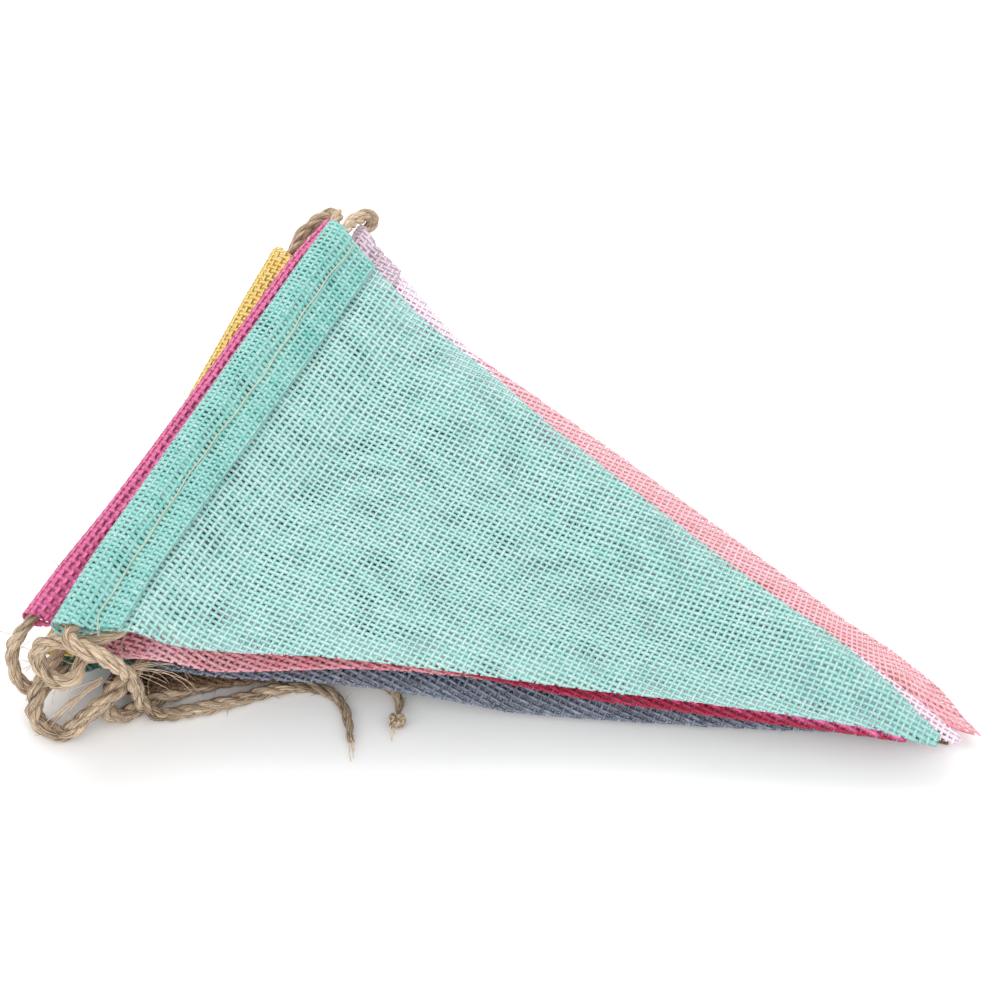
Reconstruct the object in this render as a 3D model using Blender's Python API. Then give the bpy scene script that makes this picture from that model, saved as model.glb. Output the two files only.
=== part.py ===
"""Linen bunting: eight triangular pennants of open-weave cloth on one length of jute twine,
folded up into a fanned stack that lies flat. Each pennant's wide end is folded over the twine
and sewn down as a pocket. The pennants are laid from the bottom up: each one settles on a height
map of all that lies below it, so the stack is as uneven as a real one.
X runs along the top pennant from hem to tip, Y along its hem, Z up. Sizes in tables are in mm.
"""
import math

import bmesh
import bpy
import numpy as np
from mathutils import Vector

MM = 0.001
ORIGIN = (96.1, 3.8, 0.0)    # middle of the whole part's outline, on the table

# Cloth and twine
CLOTH = 1.0              # thickness of one layer of cloth
GAP = 0.3                # air between the flap and the cloth under it
POCKET_GAP = 0.45        # air between the twine and the cloth round it
LAY_GAP = 0.4            # air left where one pennant lies on another
TWINE_R = 1.5            # radius of the jute twine
TWINE_BEVEL = 2          # bevel resolution of the twine, eight sides

# Pocket at the wide end: the fold wraps the twine, then the flap comes back on top
FOLD_R = TWINE_R + POCKET_GAP + CLOTH
FLAP_FALL = 5.8          # from the twine to where the flap lies on the cloth
FLAP_END = 16.4          # from the fold line to the raw edge of the flap
FLAP_TOP = 2.0 * CLOTH + GAP

# Pennants from the bottom of the stack to the top. x and y place the middle of the fold line,
# turn is in degrees, width is along the fold, length runs from fold to tip, tip is half the
# width of the blunt end, lean moves the tip sideways, cut slants its end, bow draws the near
# side in and draw the far side, lift raises the near side towards the tip, taut is how far the
# hem spans straight from high place to high place, twine is the distance of the twine from the
# fold line.
PENNANT_COLUMNS = (
    "name", "x", "y", "turn", "width", "length", "tip", "lean", "cut", "bow", "draw", "lift", "taut",
    "twine", "colour",
)
PENNANTS = (
    ("pennant_amber", 6.0, 1.4, 2.5, 144, 198, 1.5, 0, 0, 12.0, 0, 0, 0, FOLD_R, (0.80, 0.38, 0.08)),
    ("pennant_teal", -6.5, 4.0, 1.5, 149, 203, 1.5, 0, 0, 5.0, 0, 0, 0, FOLD_R, (0.16, 0.52, 0.45)),
    ("pennant_navy", 14.0, 8.7, 0.6, 142, 186, 1.5, -2.5, 0, -0.6, 7.0, 0, 0, FOLD_R, (0.10, 0.14, 0.26)),
    ("pennant_yellow", -13.0, 3.2, 4.5, 148, 207, 1.5, 0, 0, 3.0, 0, 0, 0, 5.5, (0.85, 0.62, 0.12)),
    ("pennant_coral", 0.2, 3.8, 2.8, 153, 204.0, 3.8, 2.5, -7.0, 5.0, -3.0, 0, 0, FOLD_R, (0.95, 0.36, 0.36)),
    ("pennant_magenta", -9.8, 8.1, -2.5, 153, 205, 1.5, 3.5, 0, 2.0, 0, 0, 0.5, FOLD_R, (0.76, 0.07, 0.24)),
    ("pennant_lilac", 7.8, 10.1, 3.2, 149.5, 199.0, 1.5, -14.8, 0, 5.0, 7.5, 0, 0, FOLD_R, (0.80, 0.58, 0.72)),
    ("pennant_mint", 0.0, 0.0, 0.0, 150, 203.0, 1.5, 2.0, 0, 4.7, -1.5, 7.0, 1.0, 5.4, (0.35, 0.75, 0.65)),
)

# Grid of each pennant: stations from fold to tip along the single cloth, and columns across.
# The flap has the stations up to its raw edge, so that it follows the cloth under it.
HEM_STATIONS = (FOLD_R, 4.4, 6.2, 8.4, 11.2, 14.0, FLAP_END, 20.0, 24.0, 28.5, 33.5, 39.0, 46.0)
BODY_STATIONS = 10
NOSE_STEPS = 6
STIFF_PAST = 3.5         # the cloth round the twine is raised as one piece this far past it
COLUMNS = 9

# Height map of the stack
MAP_STEP = 1.5
MAP_X = np.arange(-46.0, 252.0, MAP_STEP)
MAP_Y = np.arange(-120.0, 121.0, MAP_STEP)
STEEP_SLOPE = 0.5        # steepest fall of the stiff cloth beside a high place
STEEP_STEPS = 40
SPAN_SLOPE = 0.19        # fall of the cloth over a long span
SPAN_STEPS = 140
TAUT_FADE = 60.0         # length over which a taut hem's rise fades out along the cloth
HEM_SAG = 5.0            # how far the cloth dips below the long span between the hems
BODY_SAG = 2.0           # and between the bodies of the pennants
HEM_REACH = 25.0         # X where the sag starts to change from the one to the other
SAG_CHANGE = 40.0        # length over which it changes
TAIL_BERTH = 5.0         # the stiff cloth stays up this far from the middle of a tail
SOFTENING = 3            # rounds of smoothing, each about one map step wide
LIFT_ROUNDS = 6          # rounds of lifting the cloth clear of what lies below
SAMPLE_STEP = 0.8        # spacing of the points that test the cloth against the map

# Order in which the twine runs through the pockets, from the tail that leaves the top pennant.
# The first pocket is passed from the near end (low Y) to the far end, the next one back again.
STRING_ORDER = (
    "pennant_mint", "pennant_lilac", "pennant_coral", "pennant_navy",
    "pennant_yellow", "pennant_magenta", "pennant_teal", "pennant_amber",
)
EXIT_RUN = 2.5           # straight twine outside each end of a pocket

# Tails, from the free end on the table to the pocket that the tail leaves
TAIL_OF_MINT = (
    (70.6, -54.1, 1.6), (67.0, -48.4, 1.6), (61.6, -43.6, 1.6), (54.6, -43.2, 1.6),
    (48.0, -47.0, 1.6), (41.4, -53.0, 1.6), (34.6, -59.6, 1.6), (27.8, -65.0, 1.6),
    (23.2, -67.6, 2.2), (20.2, -68.4, 5.6), (19.6, -69.0, 12.0), (18.8, -70.2, 19.0),
    (16.8, -72.2, 25.0), (13.2, -74.4, 29.6), (9.6, -76.0, 32.4),
)
TAIL_OF_AMBER = (
    (77.3, -41.2, 1.6), (76.6, -38.6, 1.6), (73.0, -35.2, 1.6), (66.0, -34.4, 1.6),
    (57.0, -36.6, 1.6), (48.0, -41.4, 1.6), (40.0, -46.8, 1.6), (33.0, -52.2, 1.6),
    (27.0, -57.6, 1.6), (21.6, -63.0, 1.6), (18.0, -68.2, 1.6), (15.8, -72.6, 2.6),
    (13.6, -74.4, 5.2),
)
KNOT_PLACE = (78.3, -44.1, 2.3)
KNOT_SIZE = (2.4, 2.4, 2.2)
KNOT_RIPPLE = 0.06

# Loops from pocket to pocket in the order of the string. Each row is one point: share is its
# place between the end of the one pocket and the start of the next, x, y and z its way from there.
LOOP_COLUMNS = ("share", "x", "y", "z")
LOOPS = (
    ((0.25, -1.6, 3.4, -1.8), (0.50, -1.0, 6.1, -1.9), (0.75, 1.0, 5.4, -2.2)),
    ((0.11, -6.0, -3.7, -0.4), (0.22, -10.2, -5.5, 0.2), (0.33, -13.8, -6.5, 0.2),
     (0.44, -14.6, -7.0, -1.5), (0.56, -12.7, -7.4, -3.5), (0.67, -8.8, -7.6, -4.8),
     (0.78, -4.1, -6.5, -4.6), (0.89, -0.6, -4.0, -2.9)),
    ((0.25, -3.0, 2.2, -0.2), (0.50, -3.3, 4.4, -0.8), (0.75, -1.1, 4.3, -1.1)),
    ((0.10, -0.2, -4.6, -2.2), (0.20, -0.1, -8.2, -3.6), (0.30, -1.3, -11.7, -7.3),
     (0.40, -1.8, -14.5, -10.6), (0.50, -3.5, -15.8, -12.9), (0.60, -5.7, -15.3, -13.2),
     (0.70, -6.9, -13.3, -11.2), (0.80, -5.6, -11.0, -7.1), (0.90, -2.9, -7.2, -3.5)),
    ((0.20, -2.1, 2.0, -0.9), (0.40, -2.9, 4.2, -1.0), (0.60, -2.5, 6.2, -0.4), (0.80, -0.4, 6.5, -0.3)),
    ((0.17, -3.5, -2.1, -1.3), (0.33, -4.6, -4.6, -3.3), (0.50, -4.2, -6.3, -5.2),
     (0.67, -2.6, -6.4, -5.8), (0.83, -0.7, -4.1, -4.4)),
    ((0.25, -3.0, 3.9, 1.1), (0.50, -2.8, 7.3, 0.3), (0.75, -0.5, 6.8, -0.3)),
)

# Steps of the twine's smooth curve after each of its points
POCKET_CUTS = 1
LOOP_CUTS = 2


def remove_all_objects():
    """Empty the scene."""
    for old in list(bpy.data.objects):
        bpy.data.objects.remove(old, do_unlink=True)


def smooth_step(value):
    """Ease from 0 to 1 with level ends."""
    value = np.clip(value, 0.0, 1.0)
    return value * value * (3.0 - 2.0 * value)


def half_width(pennant, u):
    """Half the pennant's width at the distance u from its fold line."""
    half = 0.5 * pennant["width"]
    return half + (pennant["tip"] - half) * np.clip(u / pennant["length"], 0.0, 1.0)


def to_table(pennant, u, s):
    """Table position of a point u along the pennant and s (-1 to 1) across it."""
    share = u / pennant["length"]
    across = s * half_width(pennant, u) + pennant["lean"] * share
    inward = 0.5 * (pennant["bow"] * (1.0 - s) - pennant["draw"] * (1.0 + s))
    across = across + inward * np.sin(np.pi * share)
    along = u + pennant["cut"] * s * np.clip(share, 0.0, 1.0) ** 4
    turn = math.radians(pennant["turn"])
    x = pennant["x"] + along * math.cos(turn) - across * math.sin(turn)
    y = pennant["y"] + along * math.sin(turn) + across * math.cos(turn)
    return x, y


def sample(field, x, y):
    """Height of the map between its points."""
    i = np.clip((x - MAP_X[0]) / MAP_STEP, 0.0, len(MAP_X) - 1.001)
    j = np.clip((y - MAP_Y[0]) / MAP_STEP, 0.0, len(MAP_Y) - 1.001)
    i0 = np.floor(i).astype(int)
    j0 = np.floor(j).astype(int)
    a = i - i0
    b = j - j0
    low = field[i0, j0] * (1.0 - a) + field[i0 + 1, j0] * a
    high = field[i0, j0 + 1] * (1.0 - a) + field[i0 + 1, j0 + 1] * a
    return low * (1.0 - b) + high * b


def neighbours(field):
    """The map shifted one step each way, with the distance of each shift."""
    rows, columns = field.shape
    padded = np.pad(field, 1, mode="edge")
    for i in (-1, 0, 1):
        for j in (-1, 0, 1):
            if i or j:
                part = padded[1 + i:1 + i + rows, 1 + j:1 + j + columns]
                yield part, math.hypot(i, j) * MAP_STEP


def widened(field, slope, steps):
    """Raise the map to a tent over its high places that falls by the slope."""
    for _ in range(steps):
        raised = field
        for near, distance in neighbours(field):
            raised = np.maximum(raised, near - slope * distance)
        field = raised
    return field


def softened(field, rounds):
    """Average the map with its neighbours along X, then along Y."""
    for _ in range(rounds):
        padded = np.pad(field, 1, mode="edge")
        field = (padded[:-2, 1:-1] + 2.0 * field + padded[2:, 1:-1]) / 4.0
        padded = np.pad(field, 1, mode="edge")
        field = (padded[1:-1, :-2] + 2.0 * field + padded[1:-1, 2:]) / 4.0
    return field


def settled(top):
    """Under-face of a stiff cloth laid on the stack: it spans hollows and dips a little."""
    need = np.where(top > 0.0, top + LAY_GAP, 0.0)
    beside = widened(need, STEEP_SLOPE, STEEP_STEPS)
    sag = HEM_SAG + (BODY_SAG - HEM_SAG) * smooth_step((MAP_X - HEM_REACH) / SAG_CHANGE)
    spanned = widened(need, SPAN_SLOPE, SPAN_STEPS) - sag[:, None]
    return softened(np.maximum(beside, spanned), SOFTENING)


def along_stations(pennant):
    """Distances from the fold line of the rows of the single cloth, from tip to fold."""
    start = HEM_STATIONS[-1]
    step = (pennant["length"] - start) / BODY_STATIONS
    return np.array([start + step * k for k in range(BODY_STATIONS, 0, -1)] + list(reversed(HEM_STATIONS)))


def dense(grid, row_places, column_places):
    """Values between the points of a grid, straight from point to point."""
    i = np.minimum(row_places.astype(int), grid.shape[0] - 2)
    j = np.minimum(column_places.astype(int), grid.shape[1] - 2)
    a = (row_places - i)[:, None]
    b = (column_places - j)[None, :]
    near = grid[i][:, j] * (1.0 - a) + grid[i + 1][:, j] * a
    far = grid[i][:, j + 1] * (1.0 - a) + grid[i + 1][:, j + 1] * a
    return near * (1.0 - b) + far * b


def places_between(stations):
    """Row numbers with fractions, close enough that no sample is missed by the map."""
    places = [np.array([len(stations) - 1.0])]
    for k in range(len(stations) - 1):
        steps = int(math.ceil(abs(stations[k + 1] - stations[k]) / SAMPLE_STEP)) + 1
        places.append(k + np.arange(steps) / steps)
    return np.sort(np.concatenate(places))


def column_samples(pennant):
    """Column numbers with fractions, close enough for the map."""
    count = int(pennant["width"] / SAMPLE_STEP)
    return np.linspace(0.0, COLUMNS - 1.0, count)


def taut_line(heights):
    """Straight spans over the high places of a row of heights, like a stretched string on them."""
    line = heights.copy()
    for i in range(len(heights)):
        for k in range(i + 1, len(heights)):
            between = np.arange(i, k + 1)
            line[between] = np.maximum(line[between], np.interp(between, (i, k), heights[[i, k]]))
    return line


def under_face(pennant, top):
    """Height of the pennant's under-face at each point of its grid, clear of the stack below."""
    u, s = np.meshgrid(along_stations(pennant), np.linspace(-1.0, 1.0, COLUMNS), indexing="ij")
    x, y = to_table(pennant, u, s)
    face = sample(settled(top), x, y)
    share = np.clip(u / pennant["length"], 0.0, 1.0)
    face += pennant["lift"] * np.sin(np.pi * share ** 2) * np.clip(-s, 0.0, 1.0) ** 2
    stiff = u[:, 0] < pennant["twine"] + STIFF_PAST
    face[stiff] = face[stiff].max(axis=0)
    rows = places_between(u[:, 0])
    columns = column_samples(pennant)
    need = widened(np.where(top > 0.0, top + LAY_GAP, 0.0), 0.0, 1)
    below = sample(need, dense(x, rows, columns), dense(y, rows, columns))
    cell_i = np.minimum(rows.astype(int), len(u) - 2)[:, None] + 0 * columns[None, :].astype(int)
    cell_j = np.minimum(columns.astype(int), COLUMNS - 2)[None, :] + 0 * rows[:, None].astype(int)
    for _ in range(LIFT_ROUNDS):
        short = np.maximum(below - dense(face, rows, columns), 0.0)
        lift = np.zeros_like(face)
        for di in (0, 1):
            for dj in (0, 1):
                np.maximum.at(lift, (cell_i + di, cell_j + dj), short)
        face = face + lift
        face[stiff] = face[stiff].max(axis=0)
    rise = pennant["taut"] * (taut_line(face[-1]) - face[-1])
    return face + rise * (1.0 - smooth_step((u - pennant["twine"] - STIFF_PAST) / TAUT_FADE))


def laid_on(top, points):
    """Top of the stack once a cloth of these points (rows, columns, xyz) lies on it."""
    top = top.copy()
    lengths = np.concatenate([[0.0], np.cumsum(np.linalg.norm(np.diff(points[:, 0], axis=0), axis=1))])
    rows = places_between(lengths)
    columns = np.linspace(0.0, COLUMNS - 1.0, 200)
    x, y, z = (dense(points[..., k], rows, columns) for k in range(3))
    i = np.rint((x - MAP_X[0]) / MAP_STEP).astype(int)
    j = np.rint((y - MAP_Y[0]) / MAP_STEP).astype(int)
    np.maximum.at(top, (i, j), z)
    return top


def cloth_skins(pennant, face):
    """Outer and inner skin of the cloth from tip to fold and back along the flap."""
    s = np.linspace(-1.0, 1.0, COLUMNS)
    stations = along_stations(pennant)
    fold = face[-1]
    outer = []
    inner = []

    def add(u, height_out, height_in, u_in, base):
        for skin, station, height in ((outer, u, height_out), (inner, u_in, height_in)):
            x, y = to_table(pennant, np.full(COLUMNS, station), s)
            skin.append(np.stack([x, y, base + height], axis=-1))

    for u, base in zip(stations, face):
        add(u, 0.0, CLOTH, u, base)
    for k in range(1, NOSE_STEPS + 1):
        sine = math.sin(math.pi * k / NOSE_STEPS)
        cosine = math.cos(math.pi * k / NOSE_STEPS)
        core = FOLD_R - CLOTH
        add(FOLD_R - FOLD_R * sine, FOLD_R - FOLD_R * cosine, FOLD_R - core * cosine, FOLD_R - core * sine, fold)
    for u, base in zip(stations[::-1][1:], face[::-1][1:]):
        if u > FLAP_END + GAP:
            break
        fall = float(smooth_step((u - pennant["twine"]) / FLAP_FALL))
        height = 2.0 * FOLD_R - fall * (2.0 * FOLD_R - FLAP_TOP)
        add(u, height, height - CLOTH, u, base)
    return np.array(outer), np.array(inner)


def grid_faces(rows, columns):
    """Faces of a closed sheet whose two skins are grids of rows by columns points."""
    def at(skin, i, j):
        return skin * rows * columns + i * columns + j
    faces = []
    for i in range(rows - 1):
        for j in range(columns - 1):
            faces.append((at(0, i, j), at(0, i + 1, j), at(0, i + 1, j + 1), at(0, i, j + 1)))
            faces.append((at(1, i, j), at(1, i, j + 1), at(1, i + 1, j + 1), at(1, i + 1, j)))
    for i in range(rows - 1):
        for j in (0, columns - 1):
            side = (at(0, i, j), at(1, i, j), at(1, i + 1, j), at(0, i + 1, j))
            faces.append(side if j == 0 else side[::-1])
    for j in range(columns - 1):
        for i in (0, rows - 1):
            end = (at(0, i, j), at(0, i, j + 1), at(1, i, j + 1), at(1, i, j))
            faces.append(end if i == 0 else end[::-1])
    return faces


def in_metres(points):
    """Points measured from the middle of the part's outline, in metres."""
    return (np.asarray(points, dtype=float) - np.array(ORIGIN)) * MM


def make_material(name, colour, roughness):
    """Plain Principled material of one colour."""
    material = bpy.data.materials.new(name)
    material.use_nodes = True
    shader = material.node_tree.nodes["Principled BSDF"]
    shader.inputs["Base Color"].default_value = (*colour, 1.0)
    shader.inputs["Roughness"].default_value = roughness
    shader.inputs["Metallic"].default_value = 0.0
    material.diffuse_color = (*colour, 1.0)
    return material


def make_pennant(pennant, outer, inner):
    """One sheet of cloth with its sewn pocket, as a closed solid between its two skins."""
    vertices = in_metres(np.concatenate([outer.reshape(-1, 3), inner.reshape(-1, 3)]))
    mesh = bpy.data.meshes.new(pennant["name"])
    mesh.from_pydata([tuple(v) for v in vertices.tolist()], [], grid_faces(len(outer), COLUMNS))
    mesh.validate()
    mesh.materials.append(make_material(pennant["name"] + "_cloth", pennant["colour"], 0.75))
    made = bpy.data.objects.new(pennant["name"], mesh)
    bpy.context.collection.objects.link(made)
    return made


def pocket_points(pennant, face):
    """Middle of the twine in a pocket, at each column of the cloth, from the near end."""
    s = np.linspace(-1.0, 1.0, COLUMNS)
    x, y = to_table(pennant, np.full(COLUMNS, pennant["twine"]), s)
    return np.stack([x, y, face[-1] + FOLD_R], axis=-1)


def smooth_route(points, cuts):
    """Catmull-Rom curve through the points, with the given number of steps after each point."""
    points = np.asarray(points, dtype=float)
    extended = np.vstack([2.0 * points[0] - points[1], points, 2.0 * points[-1] - points[-2]])
    route = []
    for k in range(len(points) - 1):
        p0, p1, p2, p3 = extended[k:k + 4]
        gaps = [max(float(np.linalg.norm(b - a)), 0.01) ** 0.5 for a, b in ((p0, p1), (p1, p2), (p2, p3))]
        start = ((p1 - p0) / gaps[0] - (p2 - p0) / (gaps[0] + gaps[1]) + (p2 - p1) / gaps[1]) * gaps[1]
        end = ((p2 - p1) / gaps[1] - (p3 - p1) / (gaps[1] + gaps[2]) + (p3 - p2) / gaps[2]) * gaps[1]
        for step in range(cuts[k]):
            t = step / cuts[k]
            route.append(
                (2 * t**3 - 3 * t**2 + 1) * p1 + (t**3 - 2 * t**2 + t) * start
                + (-2 * t**3 + 3 * t**2) * p2 + (t**3 - t**2) * end
            )
    route.append(points[-1])
    return np.array(route)


def twine_on_table(points):
    """Height map of the part of a tail that lies on the table."""
    line = smooth_route(points, [8] * (len(points) - 1))
    x, y = np.meshgrid(MAP_X, MAP_Y, indexing="ij")
    field = np.zeros_like(x)
    for px, py, pz in line[line[:, 2] < 2.0 * TWINE_R]:
        near = np.hypot(x - px, y - py) < TAIL_BERTH
        field = np.where(near, np.maximum(field, pz + TWINE_R), field)
    return field


def stack_pennants():
    """Lay the pennants from the bottom up; return the middle line of the twine in each pocket."""
    top = np.maximum(twine_on_table(TAIL_OF_MINT), twine_on_table(TAIL_OF_AMBER))
    pockets = {}
    for row in PENNANTS:
        pennant = dict(zip(PENNANT_COLUMNS, row))
        face = under_face(pennant, top)
        outer, inner = cloth_skins(pennant, face)
        make_pennant(pennant, outer, inner)
        pockets[pennant["name"]] = pocket_points(pennant, face)
        top = laid_on(laid_on(top, outer), inner)
    return pockets


def level_step(way):
    """Straight run out of a pocket, level whatever the slope of the hem."""
    level = np.array([way[0], way[1], 0.0])
    return EXIT_RUN * level / np.linalg.norm(level)


def pocket_run(pockets, k):
    """Twine through the pocket number k of the string, with its straight runs outside."""
    line = pockets[STRING_ORDER[k]]
    line = line if k % 2 == 0 else line[::-1]
    before = line[0] + level_step(line[0] - line[1])
    after = line[-1] + level_step(line[-1] - line[-2])
    return np.vstack([before, line, after])


def loop_points(start, end, rows):
    """Points of one loop between the ends of two pockets."""
    points = []
    for row in rows:
        point = dict(zip(LOOP_COLUMNS, row))
        between = start + (end - start) * point["share"]
        points.append(between + np.array([point["x"], point["y"], point["z"]]))
    return points


def twine_route(pockets):
    """Points of the whole twine from tail to tail, and the steps of the curve after each."""
    runs = [pocket_run(pockets, k) for k in range(len(STRING_ORDER))]
    points = list(TAIL_OF_MINT)
    cuts = [LOOP_CUTS] * len(points)
    for k, run in enumerate(runs):
        points += [tuple(point) for point in run]
        cuts += [POCKET_CUTS] * (len(run) - 1) + [LOOP_CUTS]
        if k < len(LOOPS):
            points += loop_points(run[-1], runs[k + 1][0], LOOPS[k])
            cuts += [LOOP_CUTS] * len(LOOPS[k])
    points += list(reversed(TAIL_OF_AMBER))
    cuts += [LOOP_CUTS] * len(TAIL_OF_AMBER)
    return points, cuts


def make_twine(pockets):
    """The jute twine: one round cord along its whole route."""
    line = smooth_route(*twine_route(pockets))
    line[:, 2] = np.maximum(line[:, 2], TWINE_R)
    line = in_metres(line)
    curve = bpy.data.curves.new("twine", "CURVE")
    curve.dimensions = "3D"
    curve.bevel_depth = TWINE_R * MM
    curve.bevel_resolution = TWINE_BEVEL
    curve.use_fill_caps = True
    spline = curve.splines.new("POLY")
    spline.points.add(len(line) - 1)
    spline.points.foreach_set("co", np.column_stack([line, np.ones(len(line))]).ravel())
    curve.materials.append(make_material("jute", (0.56, 0.43, 0.28), 0.9))
    made = bpy.data.objects.new("twine", curve)
    bpy.context.collection.objects.link(made)
    return made


def make_knot():
    """Small hard knot at the end of the tail that leaves the bottom pennant."""
    mesh = bpy.data.meshes.new("tail_knot")
    shape = bmesh.new()
    middle = Vector(in_metres(KNOT_PLACE))
    bmesh.ops.create_icosphere(shape, subdivisions=2, radius=1.0)
    for vert in shape.verts:
        ripple = 1.0 + KNOT_RIPPLE * math.sin(3.0 * vert.co.z + 2.0 * vert.co.x)
        size = Vector(KNOT_SIZE) * ripple * MM
        vert.co = middle + Vector([c * d for c, d in zip(vert.co, size)])
    shape.to_mesh(mesh)
    shape.free()
    mesh.shade_smooth()
    mesh.materials.append(make_material("jute_knot", (0.50, 0.38, 0.24), 0.9))
    made = bpy.data.objects.new("tail_knot", mesh)
    bpy.context.collection.objects.link(made)
    return made


remove_all_objects()
pocket_lines = stack_pennants()
make_twine(pocket_lines)
make_knot()
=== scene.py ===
"""Linen bunting: eight open-weave pennants on one jute twine, folded up into a fanned stack.
Sizes in tables are in millimetres, measured as in the CAD model from the top pennant's fold line.
"""
import math

import bpy
import numpy as np
from mathutils import Matrix
from mathutils.bvhtree import BVHTree


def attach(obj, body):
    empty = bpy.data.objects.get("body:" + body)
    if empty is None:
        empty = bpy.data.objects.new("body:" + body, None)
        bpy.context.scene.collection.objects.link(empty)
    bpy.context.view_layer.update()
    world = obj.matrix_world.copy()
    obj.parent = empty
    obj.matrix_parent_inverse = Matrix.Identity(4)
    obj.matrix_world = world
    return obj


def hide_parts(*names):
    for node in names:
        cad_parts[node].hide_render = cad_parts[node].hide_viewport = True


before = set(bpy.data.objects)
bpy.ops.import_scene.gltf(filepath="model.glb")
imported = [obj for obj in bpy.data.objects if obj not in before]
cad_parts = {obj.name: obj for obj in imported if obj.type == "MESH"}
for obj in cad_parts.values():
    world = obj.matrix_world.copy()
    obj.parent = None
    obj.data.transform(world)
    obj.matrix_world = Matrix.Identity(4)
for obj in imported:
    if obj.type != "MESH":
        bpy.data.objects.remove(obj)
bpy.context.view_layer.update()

# Camera and studio: the stack lies on a pale table and is seen from above its near hem ends. A
# long lens gives the photograph's nearly parallel lines. Broad soft lights and a bright surround
# keep the shadows faint.
MM = 0.001
ORIGIN = np.array([96.1, 3.8, 0.0])
LOOKED_AT = np.array([100.0, 0.0, 10.0])
CAMERA_TURN = math.radians(25.17)
CAMERA_RISE = math.radians(51.35)
CAMERA_SHIFT = (-12.84, 25.87)
CAMERA_DISTANCE = 879.1


def in_metres(points):
    """Points in millimetres from the fold line to metres in the row frame."""
    return (np.asarray(points, dtype=float) - ORIGIN) * MM


def aimed(spot, back, right):
    """Matrix of a camera or light at the spot, looking against back, with right to its right."""
    back = np.asarray(back, dtype=float) / np.linalg.norm(back)
    right = np.asarray(right, dtype=float) - back * np.dot(right, back)
    right = right / np.linalg.norm(right)
    up = np.cross(back, right)
    rows = [[right[k], up[k], back[k], spot[k]] for k in range(3)]
    return Matrix(rows + [[0.0, 0.0, 0.0, 1.0]])


view_right = np.array([math.cos(CAMERA_TURN), math.sin(CAMERA_TURN), 0.0])
view_back = np.array([
    math.sin(CAMERA_TURN) * math.cos(CAMERA_RISE),
    -math.cos(CAMERA_TURN) * math.cos(CAMERA_RISE),
    math.sin(CAMERA_RISE),
])
view_up = np.cross(view_back, view_right)
camera_spot = LOOKED_AT + view_right * CAMERA_SHIFT[0] + view_up * CAMERA_SHIFT[1]
camera_spot = in_metres(camera_spot + view_back * CAMERA_DISTANCE)
camera = bpy.data.objects.new("camera", bpy.data.cameras.new("camera"))
camera.data.lens = 126.0
camera.data.sensor_width = 36.0
camera.data.clip_start = 0.01
camera.matrix_world = aimed(camera_spot, view_back, view_right)
bpy.context.collection.objects.link(camera)
bpy.context.scene.camera = camera
bpy.context.scene.view_settings.view_transform = "Standard"


def plain_material(name, colour, roughness):
    """Principled material of one colour; returns it with its shader and tree."""
    material = bpy.data.materials.new(name)
    material.use_nodes = True
    tree = material.node_tree
    shader = tree.nodes["Principled BSDF"]
    shader.inputs["Base Color"].default_value = (*colour, 1.0)
    shader.inputs["Roughness"].default_value = roughness
    return material, shader, tree


def mesh_piece(name, vertices, faces, material, smooth=True):
    """Object from vertices in millimetres and a list of face index arrays, at the origin."""
    mesh = bpy.data.meshes.new(name)
    polygons = []
    for block in faces:
        polygons += block.tolist()
    mesh.from_pydata(in_metres(vertices).tolist(), [], polygons)
    mesh.materials.append(material)
    mesh.polygons.foreach_set("use_smooth", [smooth] * len(mesh.polygons))
    piece = bpy.data.objects.new(name, mesh)
    bpy.context.collection.objects.link(piece)
    return piece


TABLE_HALF = 1500.0
TABLE_COLOUR = (0.96, 0.96, 0.96)
table_material, _, _ = plain_material("table_top", TABLE_COLOUR, roughness=0.7)
table_corners = np.array([[-1, -1, 0], [1, -1, 0], [1, 1, 0], [-1, 1, 0]]) * TABLE_HALF + ORIGIN
table_face = np.array([[0, 1, 2, 3]])
table = mesh_piece("table_top", table_corners, [table_face], table_material, smooth=False)

LIGHT_COLUMNS = ("name", "x", "y", "z", "size", "watts")
LIGHTS = (
    ("key_light", -350.0, 420.0, 620.0, 520.0, 3.2),
    ("fill_light", 600.0, -500.0, 500.0, 700.0, 1.7),
    ("near_light", -300.0, -700.0, 450.0, 900.0, 1.7),
)
SURROUND_STRENGTH = 0.90
for row in LIGHTS:
    light = dict(zip(LIGHT_COLUMNS, row))
    lamp = bpy.data.lights.new(light["name"], "AREA")
    lamp.size = light["size"] * MM
    lamp.energy = light["watts"]
    holder = bpy.data.objects.new(light["name"], lamp)
    spot = np.array([light["x"], light["y"], light["z"]]) * MM
    holder.matrix_world = aimed(spot, spot, (1.0, 0.0, 0.0))
    bpy.context.collection.objects.link(holder)
surround = bpy.data.worlds.new("surround")
surround.use_nodes = True
backdrop = surround.node_tree.nodes["Background"]
backdrop.inputs["Color"].default_value = (1.0, 1.0, 1.0, 1.0)
backdrop.inputs["Strength"].default_value = SURROUND_STRENGTH
bpy.context.scene.world = surround

# Jute twine: three plies laid together, strung to and fro through the pockets of the pennants. It
# is one length from the tail of the top pennant to the knotted tail of the bottom one. Its line
# through each pocket follows the pennant's fold, whose height is taken from the CAD pennant.

# The solids' cloth and twine, the play between them and the outer radius of the fold.
CLOTH = 1.0
TWINE_R = 1.5
POCKET_GAP = 0.45
FOLD_R = TWINE_R + POCKET_GAP + CLOTH
# The flap: over what distance it comes down behind the twine, where it ends, and how high its top
# then is above the cloth's under-face.
FLAP_FALL = 5.8
FLAP_END = 16.4
FLAP_TOP = 2.0 * CLOTH + 0.3
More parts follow.
